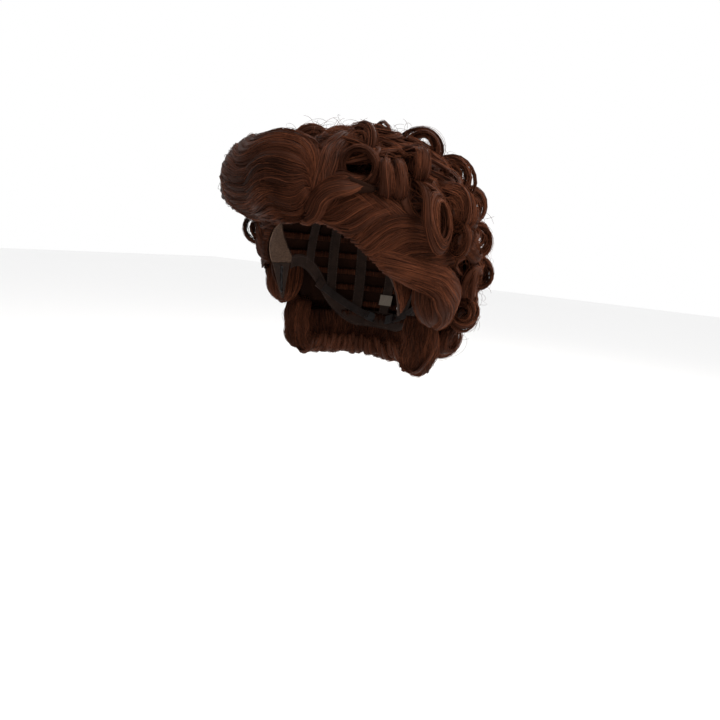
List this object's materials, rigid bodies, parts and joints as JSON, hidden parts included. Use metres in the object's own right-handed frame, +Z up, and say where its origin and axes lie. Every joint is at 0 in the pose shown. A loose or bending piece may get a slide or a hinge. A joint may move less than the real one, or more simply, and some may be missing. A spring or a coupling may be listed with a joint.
{
  "type": "costume wig",
  "caption": "Short 1940s style costume wig: sewn elastic cap with wefts, ear tabs and adjuster straps, a rolled front and rows of set curls.",
  "frame": {"origin": "centre of the head form, level with the eyes, which is the seat that a head fills", "axes": "+Z up out of the crown, -Y the way the face looks, +X the wearer's left"},
  "size_m": [0.2816, 0.3089, 0.256],
  "materials": {
    "hair": "dark auburn synthetic fibre, soft sheen",
    "weft": "stitched weft tape with hair roots",
    "net": "open elastic net",
    "lace": "fine brown lace over a tape edge",
    "cap_fabric": "woven polyester tape, matt",
    "elastic": "knitted elastic",
    "hook_plastic": "moulded nylon",
    "stay_steel": "spring steel stay",
    "label": "woven satin label, blank"
  },
  "bodies": {
    "cap": {"base_back_left": "hair", "base_back_right": "hair", "base_crown": "hair", "crown_net": "net", "curl_row_1": "hair", "curl_row_2": "hair", "curl_row_3": "hair", "curl_row_4": "hair", "curl_row_5": "hair", "curl_row_6": "hair", "curl_row_7": "hair", "curls_top": "hair", "ear_roll_left": "hair", "ear_roll_right": "hair", "front_band": "lace", "front_barrel_curl": "hair", "front_roll_1": "hair", "front_roll_2": "hair", "front_roll_3": "hair", "front_wave_left": "hair", "loop_tape_left": "cap_fabric", "loop_tape_right": "cap_fabric", "nape_band": "cap_fabric", "nape_hair_centre": "hair", "nape_hair_left": "hair", "nape_hair_right": "hair", "rib_centre": "cap_fabric", "rib_left_1": "cap_fabric", "rib_left_2": "cap_fabric", "rib_left_3": "cap_fabric", "rib_right_1": "cap_fabric", "rib_right_2": "cap_fabric", "rib_right_3": "cap_fabric", "side_band_left": "cap_fabric", "side_band_right": "cap_fabric", "size_label": "label", "strap_anchor_left": "cap_fabric", "strap_anchor_right": "cap_fabric", "temple_hair_left": "hair", "temple_hair_right": "hair", "weft_row_1": "weft", "weft_row_2": "weft", "weft_row_3": "weft", "weft_row_4": "weft", "weft_row_5": "weft", "weft_row_6": "weft", "weft_row_7": "weft", "weft_row_8": "weft", "weft_row_9": "weft"},
    "ear_tab_left": {"ear_tab_left": "cap_fabric", "ear_stay_left": "stay_steel", "tab_hair_left": "hair"},
    "strap_left": {"adjuster_strap_left": "elastic"},
    "hook_left": {"strap_hook_left": "hook_plastic"},
    "ear_tab_right": {"ear_tab_right": "cap_fabric", "ear_stay_right": "stay_steel", "tab_hair_right": "hair"},
    "strap_right": {"adjuster_strap_right": "elastic"},
    "hook_right": {"strap_hook_right": "hook_plastic"}
  },
  "joints": [
    {"name": "ear_tab_left_flex", "type": "hinge", "parent": "cap", "child": "ear_tab_left", "pos_m": [0.07338, -0.01857, 0.006], "axis": [-0.157, -0.9876, 0], "range_deg": [-10, 5], "stiffness_Nm_per_rad": 0.02},
    {"name": "ear_tab_right_flex", "type": "hinge", "parent": "cap", "child": "ear_tab_right", "pos_m": [-0.07338, -0.01857, 0.006], "axis": [-0.157, 0.9876, 0], "range_deg": [-10, 5], "stiffness_Nm_per_rad": 0.02},
    {"name": "strap_left_swing", "type": "hinge", "parent": "cap", "child": "strap_left", "pos_m": [0.06218, 0.04943, -0.01982], "axis": [-0.1669, 0.5406, 0.8246], "range_deg": [0, 60]},
    {"name": "strap_right_swing", "type": "hinge", "parent": "cap", "child": "strap_right", "pos_m": [-0.06218, 0.04943, -0.01982], "axis": [-0.1669, -0.5406, -0.8246], "range_deg": [0, 60]},
    {"name": "hook_left_swivel", "type": "hinge", "parent": "strap_left", "child": "hook_left", "pos_m": [0.017, 0.07916, -0.04863], "axis": [-0.1669, 0.5406, 0.8246], "range_deg": [0, 60]},
    {"name": "hook_right_swivel", "type": "hinge", "parent": "strap_right", "child": "hook_right", "pos_m": [-0.017, 0.07916, -0.04863], "axis": [-0.1669, -0.5406, -0.8246], "range_deg": [0, 60]}
  ]
}
